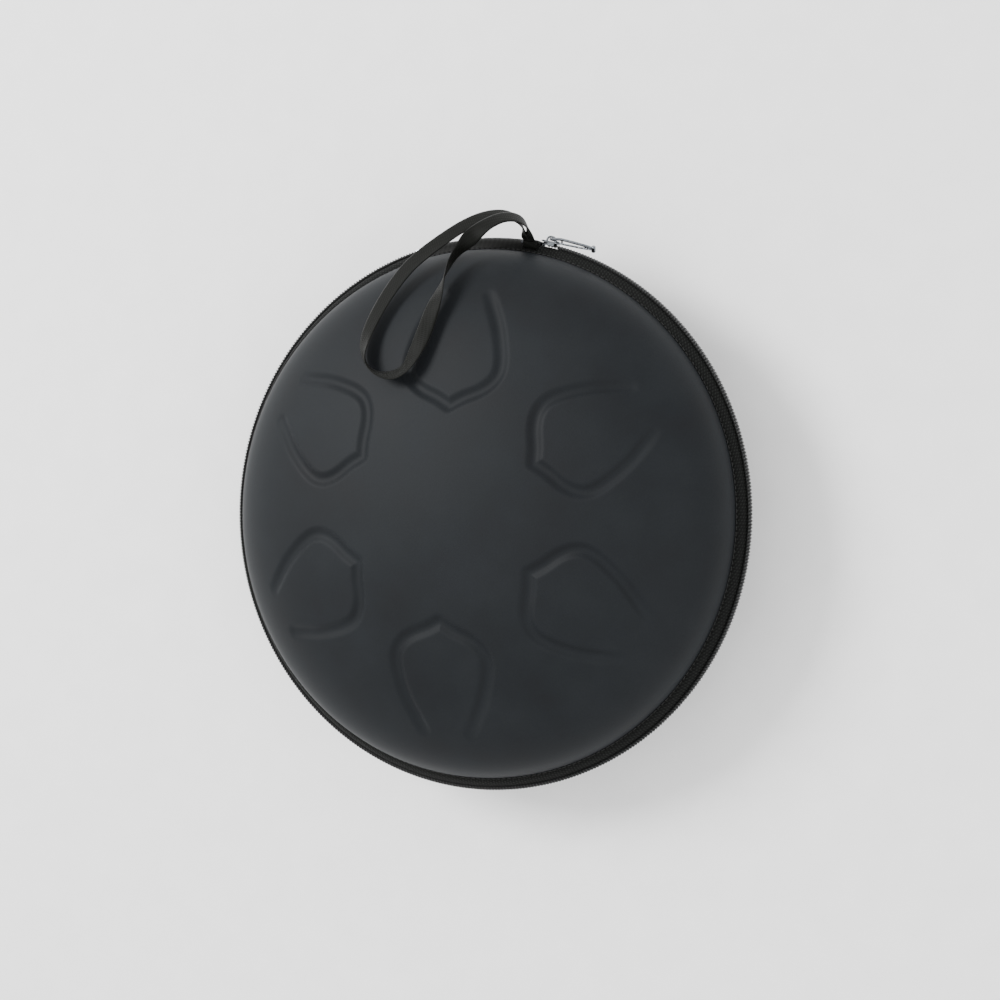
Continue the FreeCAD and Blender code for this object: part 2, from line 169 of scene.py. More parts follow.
def weave(name, dark, light, across_mm, along_mm, relief, roughness, twill=0.0):
    """Cloth woven from two sets of threads, drawn on UVs laid out in millimetres along and across."""
    material, tree = new_material(name)
    place = add(tree, "UVMap").outputs[0]
    slant = add(tree, "VectorRotate", {"Vector": place, "Angle": twill}, rotation_type="Z_AXIS").outputs[0]
    ribs = add(tree, "TexWave", {"Vector": slant, "Scale": WAVE_STEP / across_mm, "Distortion": 0.3},
               bands_direction="Y")
    picks = add(tree, "TexWave", {"Vector": place, "Scale": WAVE_STEP / along_mm, "Distortion": 0.3},
                bands_direction="X")
    crossed = {0: ribs.outputs["Fac"], 1: picks.outputs["Fac"]}
    bumps = add(tree, "Math", crossed, operation="MULTIPLY").outputs[0]
    fuzz = add(tree, "TexNoise", {"Vector": place, "Scale": 1.6, "Detail": 3.0}).outputs[0]
    tone = add(tree, "Mix", {"Factor": 0.35, "A": bumps, "B": fuzz}).outputs[0]
    colour = add(tree, "ValToRGB", {"Fac": tone}, [(0.12, dark), (0.75, light)]).outputs[0]
    rough = add(tree, "MapRange", {"Value": fuzz, "To Min": roughness - 0.06, "To Max": roughness + 0.08})
    close(tree, colour, rough.outputs[0], bumps, relief,
          **{"Specular IOR Level": 0.11, "Sheen Weight": 0.02, "Sheen Roughness": 0.4})
    return material


def nylon(name, dark, light, roughness):
    """Extruded nylon line, heat-set: smooth, slightly glossy, with faint bands where it was drawn."""
    material, tree = new_material(name)
    place = add(tree, "TexCoord").outputs["Object"]
    bands = add(tree, "TexNoise", {"Vector": place, "Scale": 1 / (0.9 * MM), "Detail": 2.0})
    drawn = bands.outputs[0]
    colour = add(tree, "ValToRGB", {"Fac": drawn}, [(0.35, dark), (0.7, light)]).outputs[0]
    rough = add(tree, "MapRange", {"Value": drawn, "To Min": roughness - 0.05, "To Max": roughness + 0.1})
    close(tree, colour, rough.outputs[0], drawn, 0.02, IOR=1.53)
    return material


def nickel():
    """Nickel-plated die-cast zinc on a slightly orange-peeled casting, finely rubbed; the plate's colour is
    painted dark grey, a painted reflection of the dark case around it.
    """
    material, tree = new_material("nickel_plated_die_cast_zinc")
    place = add(tree, "TexCoord").outputs["Object"]
    peel = add(tree, "TexNoise", {"Vector": place, "Scale": 1 / (1.2 * MM), "Detail": 2.0})
    marks = {"Vector": place, "Scale": 1 / (0.3 * MM), "Detail": 4.0, "Distortion": 1.5}
    rubs = add(tree, "TexNoise", marks)
    # Painted reflection: dark greys in place of bright nickel, standing for the dark surroundings the plate
    # reflects
    stops = [(0.3, "#64686c"), (0.7, "#8c9094")]
    colour = add(tree, "ValToRGB", {"Fac": peel.outputs[0]}, stops).outputs[0]
    rough = add(tree, "MapRange", {"Value": rubs.outputs[0], "To Min": 0.07, "To Max": 0.18}).outputs[0]
    close(tree, colour, rough, peel.outputs[0], 0.03, Metallic=1.0)
    return material


def brushed_knit():
    """Warp-knitted lining with a raised nap: dull and soft, with rows of small loops."""
    material, tree = new_material("brushed_warp_knit")
    place = add(tree, "TexCoord").outputs["Object"]
    loops = add(tree, "TexVoronoi", {"Vector": place, "Scale": 1 / (1.3 * MM)}, feature="F1")
    nap = add(tree, "TexNoise", {"Vector": place, "Scale": 1 / (6.0 * MM), "Detail": 4.0})
    colour = add(tree, "ValToRGB", {"Fac": nap.outputs[0]}, [(0.3, "#0d0e10"), (0.7, "#16171a")]).outputs[0]
    rough = add(tree, "MapRange", {"Value": nap.outputs[0], "To Min": 0.86, "To Max": 0.98}).outputs[0]
    close(tree, colour, rough, loops.outputs["Distance"], 0.25,
          **{"Sheen Weight": 0.25, "Sheen Roughness": 0.5, "Specular IOR Level": 0.2})
    return material


def woven_solid(name, dark, light, thread_mm):
    """Binding tape: a plain weave seen small, drawn in the object's own space."""
    material, tree = new_material(name)
    place = add(tree, "TexCoord").outputs["Object"]
    threads = add(tree, "TexVoronoi", {"Vector": place, "Scale": 1 / (thread_mm * MM)}, feature="F1",
                  distance="CHEBYCHEV")
    nap = add(tree, "TexNoise", {"Vector": place, "Scale": 1 / (3.0 * MM), "Detail": 3.0})
    colour = add(tree, "ValToRGB", {"Fac": nap.outputs[0]}, [(0.3, dark), (0.7, light)]).outputs[0]
    rough = add(tree, "MapRange", {"Value": nap.outputs[0], "To Min": 0.75, "To Max": 0.9}).outputs[0]
    close(tree, colour, rough, threads.outputs["Distance"], 0.12,
          **{"Sheen Weight": 0.15, "Specular IOR Level": 0.25})
    return material


def make_mesh(name, points, faces, uvs=None):
    """A smooth-shaded piece from points in millimetres about the mid-plane, with one (u, v) per point."""
    points = (np.asarray(points, float) + UP * MID_HEIGHT) * MM
    mesh = bpy.data.meshes.new(name)
    mesh.from_pydata(points.tolist(), [], faces)
    outward = bmesh.new()
    outward.from_mesh(mesh)
    bmesh.ops.recalc_face_normals(outward, faces=outward.faces)
    outward.to_mesh(mesh)
    outward.free()
    mesh.polygons.foreach_set("use_smooth", [True] * len(mesh.polygons))
    if uvs is not None:
        loops = np.zeros(len(mesh.loops), int)
        mesh.loops.foreach_get("vertex_index", loops)
        mesh.uv_layers.new(name="UVMap").data.foreach_set("uv", np.asarray(uvs, float)[loops].ravel())
    piece = bpy.data.objects.new(name, mesh)
    bpy.context.scene.collection.objects.link(piece)
    return piece


def grid_faces(rows, columns, closed=False):
    """The quads of a grid whose points are stored row by row, each row closed to a ring where asked."""
    a, b = np.meshgrid(np.arange(rows - 1), np.arange(columns if closed else columns - 1), indexing="ij")
    a, b = a.ravel(), b.ravel()
    c, d = a + 1, (b + 1) % columns
    return np.stack([a * columns + b, a * columns + d, c * columns + d, c * columns + b], 1).tolist()


def tube_faces(rings, sides, flip=False):
    """The quads round a tube whose points are stored ring by ring, and its two end faces."""
    last = (rings - 1) * sides
    ends = [list(range(sides))[::-1], list(range(last, last + sides))]
    faces = grid_faces(rings, sides, closed=True) + ends
    return [face[::-1] for face in faces] if flip else faces


def finish_piece(piece, material, bodies, slot, *nodes, span=None):
    """Gives a piece its material and the body it rides on, fixes a piece between two bodies where it stands,
    and hides its nodes; slot is not used.
    """
    piece.data.materials.append(material)
    if len(bodies) == 2:
        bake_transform(piece)
    else:
        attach(piece, bodies[0])
    if nodes:
        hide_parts(*nodes)
    return piece


def dome_curve(height, turns, offset=0.0):
    """Radius and height of a dome's profile, offset inwards along its normal."""
    def bare(t):
        r = SHELL_RADIUS * np.sin(t) ** (2 / CROWN_POWER)
        z = DOME_FOOT + (height - DOME_FOOT) * np.cos(t) ** (2 / SHOULDER_POWER)
        return r, z
    step = 1e-4
    r0, z0 = bare(np.clip(turns - step, 0, math.pi / 2))
    r1, z1 = bare(np.clip(turns + step, 0, math.pi / 2))
    length = np.hypot(r1 - r0, z1 - z0)
    r, z = bare(turns)
    return r + offset * (z1 - z0) / length, z - offset * (r1 - r0) / length


def profile(height, offset, start, count_in, count_out, bands=None):
    """A dome's profile from radius start to the rim. bands is (inner radius, outer radius, count) or None."""
    turns = np.linspace(1e-3, math.pi / 2 - 1e-3, 6000)
    r, z = dome_curve(height, turns, offset)
    keep = (r >= start) & (z >= EDGE_HEIGHT)
    r, z = r[keep], z[keep]
    along = np.concatenate([[0], np.cumsum(np.hypot(np.diff(r), np.diff(z)))])
    middle = along[np.searchsorted(r, bands[0])] if bands else along[-1] * 0.5
    outer = along[np.searchsorted(r, bands[1])] if bands else along[-1] * 0.5
    places = [np.linspace(0, middle, count_in, endpoint=False)]
    if bands:
        places.append(np.linspace(middle, outer, bands[2], endpoint=False))
    places.append(np.linspace(outer, along[-1], count_out))
    places = np.concatenate(places)
    return np.interp(places, along, r), np.interp(places, along, z)


def petal_distance(x, y):
    """Distance in plan from the nearest petal's pressed line."""
    angle = (np.arctan2(y, x) - PETAL_TURN + TURN / PETALS / 2) % (TURN / PETALS) - TURN / PETALS / 2
    radius = np.hypot(x, y)
    u, v = radius * np.cos(angle), np.abs(radius * np.sin(angle))
    length = PETAL_END - PETAL_TIP
    shape = np.array([(PETAL_TIP + length * s, PETAL_HALF_WIDTH * w) for s, w in PETAL_SHAPE])
    line = smooth_line(shape, 8)
    best = np.full(u.shape, 1e9)
    for (u0, v0), (u1, v1) in zip(line, line[1:]):
        du, dv = u1 - u0, v1 - v0
        share = np.clip(((u - u0) * du + (v - v0) * dv) / (du * du + dv * dv), 0, 1)
        best = np.minimum(best, np.hypot(u - u0 - share * du, v - v0 - share * dv))
    return best


def smooth_line(points, pieces):
    """A Catmull-Rom line through the points, with this many pieces between each two."""
    points = np.asarray(points, float)
    padded = np.vstack([2 * points[0] - points[1], points, 2 * points[-1] - points[-2]])
    line = []
    for a, b, c, d in zip(padded, padded[1:], padded[2:], padded[3:]):
        for t in np.arange(pieces) / pieces:
            line.append(0.5 * (2 * b + (c - a) * t + (2 * a - 5 * b + 4 * c - d) * t ** 2
                               + (3 * b - a - 3 * c + d) * t ** 3))
    return np.array(line + [points[-1]])


def shell(name, height, side, rings, columns, pressed, flat, outside=0.0, inside=FOAM_INSIDE, slack=0.0):
    """One half's layer between two depths, closed, with pressed petals or a little slack where asked."""
    start = REAR_FLAT_RADIUS + REAR_FLAT_BLEND if flat else 1.0
    bands = GROOVED_BAND if pressed else None
    r, z = profile(height, outside, start, rings // 3, rings - rings // 3, bands)
    inner_r, inner_z = profile(height, inside, start, 14, 16)
    if flat:
        level = MID_HEIGHT - outside
        share = (np.array([56, 60]) - REAR_FLAT_RADIUS) / REAR_FLAT_BLEND
        z = np.concatenate([[level] * 4, level - (level - z[0]) * share ** 2, z])
        r = np.concatenate([[1.0, 20, 40, REAR_FLAT_RADIUS, 56, 60], r])
        inner_r = np.concatenate([[1.0, 30, REAR_FLAT_RADIUS], inner_r])
        inner_z = np.concatenate([[MID_HEIGHT - inside] * 3, inner_z])
    angle = np.arange(columns) * TURN / columns
    slope_r, slope_z = np.gradient(r), np.gradient(z)
    length = np.hypot(slope_r, slope_z)
    sink = np.zeros((len(r), columns))
    if pressed:
        x, y = np.outer(r, np.cos(angle)), np.outer(r, np.sin(angle))
        gap = np.clip((petal_distance(x, y) - GROOVE_FLAT) / GROOVE_EDGE, 0, 1)
        fade = np.clip((np.hypot(x, y) - GROOVE_FADE[0]) / (GROOVE_FADE[1] - GROOVE_FADE[0]), 0, 1)
        sink = GROOVE_DEPTH * (1 - gap * gap * (3 - 2 * gap)) * (1 - fade * fade)
    outer_r = r[:, None] + sink * (slope_z / length)[:, None]
    outer_z = z[:, None] - sink * (slope_r / length)[:, None]
    back_r, back_z = inner_r[::-1, None], inner_z[::-1, None]
    sag = slack * np.sin(angle * 7 + back_r / 9) * np.sin(back_r / 17 + 1) * np.clip(back_r / 90, 0, 1) ** 2
    all_r = np.vstack([outer_r, np.repeat(back_r, columns, 1)])
    all_z = np.vstack([outer_z, back_z + sag]) * side
    points = np.stack([all_r * np.cos(angle), all_r * np.sin(angle), all_z], 2).reshape(-1, 3)
    return make_mesh(name, points, tube_faces(len(all_r), columns, flip=side < 0))


def seam_radius(height):
    """Radius of the shell's outside at its edge."""
    radii, _ = profile(height, 0.0, 100.0, 200, 200)
    return float(radii[-1])


SEAM = seam_radius(FRONT_HEIGHT)
REAR_SEAM = seam_radius(REAR_HEIGHT)
CHAIN = SEAM + TAPE_REACH


def swept_ring(name, section, start, end, columns, side, ripple=None):
    """A closed (r, z) section carried round the rim from one angle to another, with UVs in millimetres."""
    section = np.asarray(section, float)
    angle = np.linspace(start, end, columns)
    r = np.repeat(section[None, :, 0], columns, 0)
    z = np.repeat(section[None, :, 1], columns, 0)
    if ripple is not None:
        r = r + ripple(angle)[:, None] * np.sin(np.linspace(0, math.pi, len(section)))[None, :]
    points = np.stack([r * np.cos(angle)[:, None], r * np.sin(angle)[:, None], z * side], 2).reshape(-1, 3)
    across = np.concatenate([[0], np.cumsum(np.hypot(*np.diff(section, axis=0).T))])
    uv = np.stack(np.meshgrid(angle * CHAIN, across, indexing="ij"), 2).reshape(-1, 2)
    return make_mesh(name, points, tube_faces(columns, len(section), flip=side < 0), uv)


def bulge(centre, reach, rise, low, high, count):
    """Points on the upright ellipse that cloth follows as it swells out of the seam."""
    turns = np.linspace(math.asin(low / rise), math.asin(high / rise), count)
    return np.stack([centre + reach * np.cos(turns), rise * np.sin(turns)], 1)


def zip_tape(name, seam, side):
    """A zip tape: out of the seam, round and down to the coil, slightly puckered by its stitching."""
    under = EDGE_HEIGHT - TAPE_THICKNESS
    outside = bulge(seam, TAPE_REACH, EDGE_HEIGHT, CHAIN_HALF_GAP, EDGE_HEIGHT, 14)
    inside = bulge(seam, TAPE_REACH - TAPE_THICKNESS, under, CHAIN_HALF_GAP, under, 8)[::-1]
    inner = seam - WALL
    section = np.vstack([outside, [(inner, EDGE_HEIGHT), (inner, under)], inside])

    def pucker(angle):
        return 0.12 * np.sin(angle * 61) * np.sin(angle * 23 + 1.0)
    return swept_ring(name, section, HINGE_END, TURN + HINGE_START, 900, side, ripple=pucker)


def coil(name, side, start, end, phase):
    """One side's coil: nylon line wound into long loops, each with its nose across the chain's middle."""
    turns = int((end - start) * CHAIN / COIL_PITCH)
    steps, sides = 14, 6
    s = np.arange(turns * steps + 1) / steps
    swing = TURN * (s + phase)
    along = s + 0.14 * np.sin(swing)
    angle = start + along * COIL_PITCH / CHAIN
    centre_r = CHAIN + LOOP_HALF_DEPTH + (LOOP_HALF_DEPTH - WIRE_RADIUS) * np.sin(swing)
    centre_z = side * (LOOP_MIDDLE + LOOP_REACH * np.cos(swing))
    path = np.stack([centre_r * np.cos(angle), centre_r * np.sin(angle), centre_z], 1)
    return make_mesh(name, *tube(path, WIRE_RADIUS, sides))


def filler(name, side, start, end):
    """The soft cord that the coil is wound round, seen as a dark line between its loops."""
    middle, half_depth, half_height = 0.82, 0.88, 0.85
    turns = np.arange(12) * TURN / 12
    section = np.stack([CHAIN + middle + half_depth * np.cos(turns),
                        LOOP_MIDDLE + half_height * np.sin(turns)], 1)
    return swept_ring(name, section, start, end, 720, side)


def merged(parts):
    """Several parts' points and faces as one list of each."""
    points, faces, base = [], [], 0
    for part_points, part_faces in parts:
        points.append(part_points)
        faces += [[i + base for i in face] for face in part_faces]
        base += len(part_points)
    return np.concatenate(points), faces


def tube(path, radius, sides):
    """Points and faces of a round tube along a path round the rim, closed at both ends."""
    tangent = np.gradient(path, axis=0)
    tangent /= np.linalg.norm(tangent, axis=1)[:, None]
    guide = np.where(np.abs(tangent[:, 2:3]) > 0.9, [[1.0, 0.0, 0.0]], [[0.0, 0.0, 1.0]])
    outward = path * [1, 1, 0]
    outward = outward / np.maximum(np.linalg.norm(outward, axis=1)[:, None], 1e-6)
    first = np.cross(tangent, 0.6 * guide + 0.8 * outward)
    first /= np.linalg.norm(first, axis=1)[:, None]
    second = np.cross(tangent, first)
    turns = np.arange(sides) * TURN / sides
    ring = first[:, None] * np.cos(turns)[None, :, None] + second[:, None] * np.sin(turns)[None, :, None]
    points = (path[:, None] + ring * radius).reshape(-1, 3)
    return points, tube_faces(len(path), sides, flip=True)


def stitches(name, radius, height, side):
    """A row of lockstitches lying round the rim at this radius and height."""
    length, gap, thick, rings, sides = 2.9, 0.5, 0.35, 7, 6
    count = int(TURN * radius / (length + gap))
    share = np.linspace(-1, 1, rings)
    fullness = np.sqrt(np.clip(1 - share ** 4, 0.04, 1))
    turns = np.arange(sides) * TURN / sides
    out = radius - 0.18 * share[:, None] ** 2 + thick * fullness[:, None] * np.cos(turns)
    up = side * (height + thick * fullness[:, None] * np.sin(turns))
    parts = []
    for k in range(count):
        angle = k / count * TURN + share[:, None] * length / 2 / radius
        stitch = np.stack([out * np.cos(angle), out * np.sin(angle), up], 2).reshape(-1, 3)
        parts.append((stitch, tube_faces(rings, sides, flip=side < 0)))
    return make_mesh(name, *merged(parts))


def binding(name, height, seam, side):
    """The binding inside the rim: a folded band over the lining's edge, turned out under the shell's."""
    thick, rise, lap = 0.7, 7.0, 1.5
    under = EDGE_HEIGHT - TAPE_THICKNESS
    low = under - thick
    sides, rims = [], []
    for depth in (WALL, WALL + thick):
        line = np.stack(profile(height, depth, 120.0, 60, 60), 1)
        sides.append(line[line[:, 1] < EDGE_HEIGHT + rise][::4])
        rims.append(line[-1, 0])
    back, front = sides
    turn = [(rims[0], under), (seam - lap - 0.4, under), (seam - lap, under - 0.2), (seam - lap, low + 0.2),
            (seam - lap - 0.4, low), (rims[1] + 0.4, low), (rims[1], low + 0.5)]
    edge = (back[0] + front[0]) / 2 + [-0.3, 0.3]
    section = np.vstack([back, turn, front[::-1], [edge]])

    def pucker(angle):
        return -0.15 * (1 + np.sin(angle * 117)) * (0.6 + 0.4 * np.sin(angle * 31))
    return swept_ring(name, section, 0.0, TURN, 720, side, ripple=pucker)


def hinge_band(name, reach, rise, thickness, start, end, ruck, columns=90):
    """A band of cloth across the hinge, from seam to seam, with shallow rucks along it."""
    outer = bulge(SEAM, reach, rise, -rise * 0.999, rise * 0.999, 28)
    low = rise - thickness
    inner = bulge(SEAM, reach - thickness, low, -low * 0.999, low * 0.999, 28)[::-1]

    def rucks(angle):
        return ruck * (np.sin(angle * 150) * 0.6 + np.sin(angle * 67 + 2) * 0.4)
    return swept_ring(name, np.vstack([outer, inner]), start, end, columns, 1, ripple=rucks)


def bar_tack(name, middle):
    """A bar tack over the end of the hinge cloth: close zigzag stitches worked across it."""
    strands, rings, sides = 9, 18, 5
    width, thread = 2.2, 0.2
    side_way = np.array([-math.sin(middle), math.cos(middle), 0.0])
    turns = np.arange(sides)[None, :, None] * TURN / sides
    turn = np.linspace(-0.84, 0.84, rings)
    r = SEAM + (HINGE_SLACK + 0.15) * np.cos(turn)
    z = (EDGE_HEIGHT + 0.15) * np.sin(turn)
    parts = []
    for k in range(strands):
        shift = (k - (strands - 1) / 2) * width / strands
        angle = middle + (shift + 0.1 * np.sin(turn * 9 + k)) / SHELL_RADIUS
        path = np.stack([r * np.cos(angle), r * np.sin(angle), z], 1)
        tangent = np.gradient(path, axis=0)
        tangent /= np.linalg.norm(tangent, axis=1)[:, None]
        out = np.cross(tangent, side_way)[:, None]
        strand = path[:, None] + thread * (side_way * np.cos(turns) + out * np.sin(turns))
        parts.append((strand.reshape(-1, 3), tube_faces(rings, sides)))
    return make_mesh(name, *merged(parts))


# The ribbon's route and the way its face looks at each point, about the mid-plane
RIBBON_WIDTH = 10.0
RIBBON_THICKNESS = 1.0
PINCH_LENGTH = 24.0
PINCH_SHARE = 0.5
RIBBON_ROUTE = [
    ((38.6, 165.8, 8.0), (0.25, 0.97, 0.0)), ((38.6, 165.8, 11.6), (0.25, 0.97, 0.0)),
    ((39.8, 170.6, 15.0), (0.7, 0.7, 0.0)), ((38.2, 176.2, 19.6), (0.65, 0.6, 0.3)),
    ((32.0, 180.0, 25.2), (0.4, 0.7, 0.5)), ((21.2, 179.2, 29.0), (0.3, 0.65, 0.69)),
    ((9.0, 174.5, 33.0), (0.22, 0.6, 0.76)), ((-5.0, 166.1, 36.5), (0.1, 0.5, 0.85)),
    ((-17.6, 157.9, 38.4), (0.0, 0.4, 0.9)), ((-27.6, 149.8, 40.6), (-0.1, 0.3, 0.95)),
    ((-38.8, 135.5, 43.8), (-0.2, 0.2, 0.95)), ((-47.0, 120.4, 48.2), (-0.3, 0.1, 0.95)),
    ((-51.8, 106.9, 52.3), (-0.4, 0.0, 0.9)), ((-51.0, 94.4, 56.2), (-0.75, -0.3, 0.55)),
    ((-43.1, 86.5, 59.2), (-0.5, -0.85, -0.05)), ((-30.3, 83.2, 61.2), (0.1, -0.75, -0.65)),
    ((-21.8, 86.2, 61.1), (0.45, -0.5, -0.75)), ((-16.4, 94.4, 59.4), (0.2, -0.3, -0.92)),
    ((-10.9, 106.8, 56.2), (-0.1, -0.1, -0.95)), ((-6.9, 121.7, 51.8), (0.1, 0.0, -0.97)),
    ((-3.0, 134.0, 48.2), (0.6, 0.0, -0.75)), ((-0.4, 145.0, 44.2), (0.93, 0.0, -0.37)),
    ((3.4, 154.2, 41.2), (0.97, 0.1, -0.1)), ((10.4, 161.6, 39.6), (0.85, 0.3, 0.15)),
    ((17.4, 168.0, 38.2), (0.6, 0.5, 0.45)), ((24.0, 173.0, 35.8), (0.35, 0.62, 0.65)),
    ((31.9, 176.6, 32.3), (0.35, 0.68, 0.6)), ((38.4, 177.0, 28.2), (0.5, 0.68, 0.5)),
    ((43.0, 174.4, 23.4), (0.65, 0.65, 0.35)), ((44.2, 169.4, 18.2), (0.7, 0.7, 0.0)),
    ((42.6, 164.8, 13.4), (0.25, 0.97, 0.0)), ((42.6, 164.8, 8.0), (0.25, 0.97, 0.0)),
]


def rounded_run(values, pieces):
    """Values along straight runs whose corners are rounded from middle to middle."""
    values = np.asarray(values, float)
    middles = (values[:-1] + values[1:]) / 2
    line = []
    for i in range(1, len(values) - 1):
        a = values[0] if i == 1 else middles[i - 1]
        c = values[-1] if i == len(values) - 2 else middles[i]
        for t in np.arange(pieces) / pieces:
            line.append((1 - t) ** 2 * a + 2 * t * (1 - t) * values[i] + t * t * c)
    return np.array(line + [values[-1]])


def ribbon_loop():
    """The loop as a flat woven ribbon with soft edges, and the line its middle follows, in metres."""
    path = rounded_run([p for p, _ in RIBBON_ROUTE], 16)
    facing = rounded_run([n for _, n in RIBBON_ROUTE], 16)
    tangent = np.gradient(path, axis=0)
    tangent /= np.linalg.norm(tangent, axis=1)[:, None]
    facing -= (facing * tangent).sum(1)[:, None] * tangent
    facing /= np.linalg.norm(facing, axis=1)[:, None]
    across = np.cross(tangent, facing)
    half, thick = RIBBON_WIDTH / 2, RIBBON_THICKNESS / 2
    upper = [(x, thick * (1 - abs(x / half) ** 8)) for x in np.linspace(-half, half, 15)]
    section = np.array(upper + [(x, -t) for x, t in upper[-2:0:-1]])
    along = np.concatenate([[0], np.cumsum(np.linalg.norm(np.diff(path, axis=0), axis=1))])
    near_root = np.clip(np.minimum(along, along[-1] - along) / PINCH_LENGTH, 0, 1)
    spread_out = PINCH_SHARE + (1 - PINCH_SHARE) * near_root * near_root * (3 - 2 * near_root)
    points = path[:, None] + facing[:, None] * section[None, :, 1:] \
        + across[:, None] * section[None, :, :1] * spread_out[:, None, None]
    uv = np.stack(np.meshgrid(along, section[:, 0], indexing="ij"), 2).reshape(-1, 2)
    faces = tube_faces(len(path), len(section), flip=True)
    piece = make_mesh("ribbon_loop", points.reshape(-1, 3), faces, uv)
    return piece, (path + UP * MID_HEIGHT) * MM, along[-1] * MM


def at_rim(points, angle):
    """Points drawn as (outwards, along the rim, up) at angle 0, turned to their place."""
    points = np.asarray(points, float)
    c, s = math.cos(angle), math.sin(angle)
    return points @ np.array([[c, s, 0], [-s, c, 0], [0, 0, 1]])


def rounded_block(lows, highs, radius):
    """Points and quads of a block with rounded edges."""
    lows, highs = np.asarray(lows, float), np.asarray(highs, float)
    steps = 9
    line = np.linspace(-1, 1, steps)
    parts = []
    for axis in range(3):
        for sign in (-1, 1):
            u, v = np.meshgrid(line, line, indexing="ij")
            unit = np.zeros((steps * steps, 3))
            unit[:, axis] = sign
            unit[:, (axis + 1) % 3] = u.ravel()
            unit[:, (axis + 2) % 3] = v.ravel()
            half = (highs - lows) / 2
            at = unit * half
            core = np.clip(at, -(half - radius), half - radius)
            away = at - core
            size = np.maximum(np.linalg.norm(away, axis=1), 1e-9)[:, None]
            at = core + away / size * radius
            quads = grid_faces(steps, steps)
            parts.append((at + (lows + highs) / 2, [quad[::-1] for quad in quads] if sign > 0 else quads))
    return merged(parts)


def joined(name, parts, angle):
    """Several rounded parts as one piece at its place on the rim."""
    points, faces = merged(parts)
    piece = make_mesh(name, at_rim(points, angle), faces)
    merge = piece.modifiers.new("weld", "WELD")
    merge.merge_threshold = 0.00001
    return piece


def bent_wire(path, radius, sides=10, flatten=1.0, fullness=40):
    """Points and faces of a wire along a path. A low fullness rounds its ends like a bead's."""
    path = np.asarray(path, float)
    tangent = np.gradient(path, axis=0)
    tangent /= np.linalg.norm(tangent, axis=1)[:, None]
    guide = np.where(np.abs(tangent[:, 2:3]) > 0.8, [[0.0, 1.0, 0.0]], [[0.0, 0.0, 1.0]])
    first = np.cross(tangent, guide)
    first /= np.linalg.norm(first, axis=1)[:, None]
    second = np.cross(tangent, first)
    turns = np.arange(sides) * TURN / sides
    ring = first[:, None] * np.cos(turns)[None, :, None] \
        + flatten * second[:, None] * np.sin(turns)[None, :, None]
    scale = radius * np.sqrt(np.clip(1 - np.linspace(-1, 1, len(path)) ** fullness, 0.02, 1))
    points = path[:, None] + ring * scale[:, None, None]
    return points.reshape(-1, 3), tube_faces(len(path), sides, flip=True)


SLIDER_ANGLE = math.atan2(frame["joints"][2]["pos_m"][1], frame["joints"][2]["pos_m"][0])
PIVOT = math.hypot(*frame["joints"][2]["pos_m"][:2]) / MM
PLATE = CHAIN + COIL_DEPTH + 0.5
PLATE_THICKNESS = 1.2
SLIDER_HALF = 5.0


def past_slider(distance):
    """The angle this many millimetres past the slider's middle, counted on from the hinge."""
    return TURN + SLIDER_ANGLE + distance / CHAIN


def slider():
    """The slider's outer plate with its turned-in lips, its inner plate and the web between the coils."""
    half, top = SLIDER_HALF, 3.7
    behind = CHAIN - 1.8
    return joined("zip_slider", [
        rounded_block((PLATE, -half, -top), (PLATE + PLATE_THICKNESS, half, top), 0.5),
        rounded_block((PLATE - 1.7, -3.4, top - 0.7), (PLATE + 0.4, 3.4, top), 0.3),
        rounded_block((PLATE - 1.7, -3.4, -top), (PLATE + 0.4, 3.4, 0.7 - top), 0.3),
        rounded_block((behind - 1.0, -half, -2.8), (behind, half, 2.8), 0.4),
        rounded_block((behind - 0.2, half - 2.0, -0.3), (PLATE + 0.2, half - 0.4, 0.3), 0.12),
    ], SLIDER_ANGLE)


def bail():
    """The wire bridge on the slider that carries the pull."""
    floor = PLATE + PLATE_THICKNESS
    foot = [(floor - 0.3, 2.7, 0), (floor + 1.4, 2.6, 0), (floor + 2.6, 1.7, 0)]
    line = smooth_line([(r, -y, z) for r, y, z in foot] + [(floor + 2.9, 0, 0)] + foot[::-1], 6)
    return joined("slider_bridge", [bent_wire(line, 0.65, flatten=1.3)], SLIDER_ANGLE)


def pull():
    """The slim pull: two tapering side wires from the eye to a small bead, a cross pin and a bridge."""
    bridge, end, twist = -7.0, -28.0, math.radians(50)

    def spot(along, aside, out=0.0):
        turn = twist * min(1.0, -along / 6.0) if along < 0 else 0.0
        return (PIVOT + aside * math.sin(turn) + out * math.cos(turn), along,
                aside * math.cos(turn) - out * math.sin(turn))
    parts = []
    for side in (-1, 1):
        stations = [(0.0, 1.4), (-3.5, 1.5), (bridge, 1.6), (-15.0, 1.4), (-21.5, 1.1), (end + 0.8, 0.6)]
        line = smooth_line([spot(along, side * aside) for along, aside in stations], 6)
        parts.append(bent_wire(line, 0.9 if side > 0 else 0.6))
        eye = [(PIVOT + 0.6 * math.cos(t), 0.6 * math.sin(t), side * 1.4) for t in np.linspace(0, TURN, 17)]
        parts.append(bent_wire(eye, 0.28))
    for along, reach in ((bridge, 1.6), (-22.5, 1.1), (-24.0, 1.0)):
        line = [spot(along, a) for a in np.linspace(-reach, reach, 7)]
        parts.append(bent_wire(line, 0.55))
    bead = [spot(end, a) for a in 2.1 * np.sin(np.linspace(-1, 1, 15) * math.pi / 2)]
    parts.append(bent_wire(bead, 1.45, fullness=4))
    pin = [(PIVOT, 0.0, a) for a in np.linspace(-1.6, 1.6, 7)]
    parts.append(bent_wire(pin, 0.45))
    return joined("pull_tab_frame", parts, SLIDER_ANGLE)


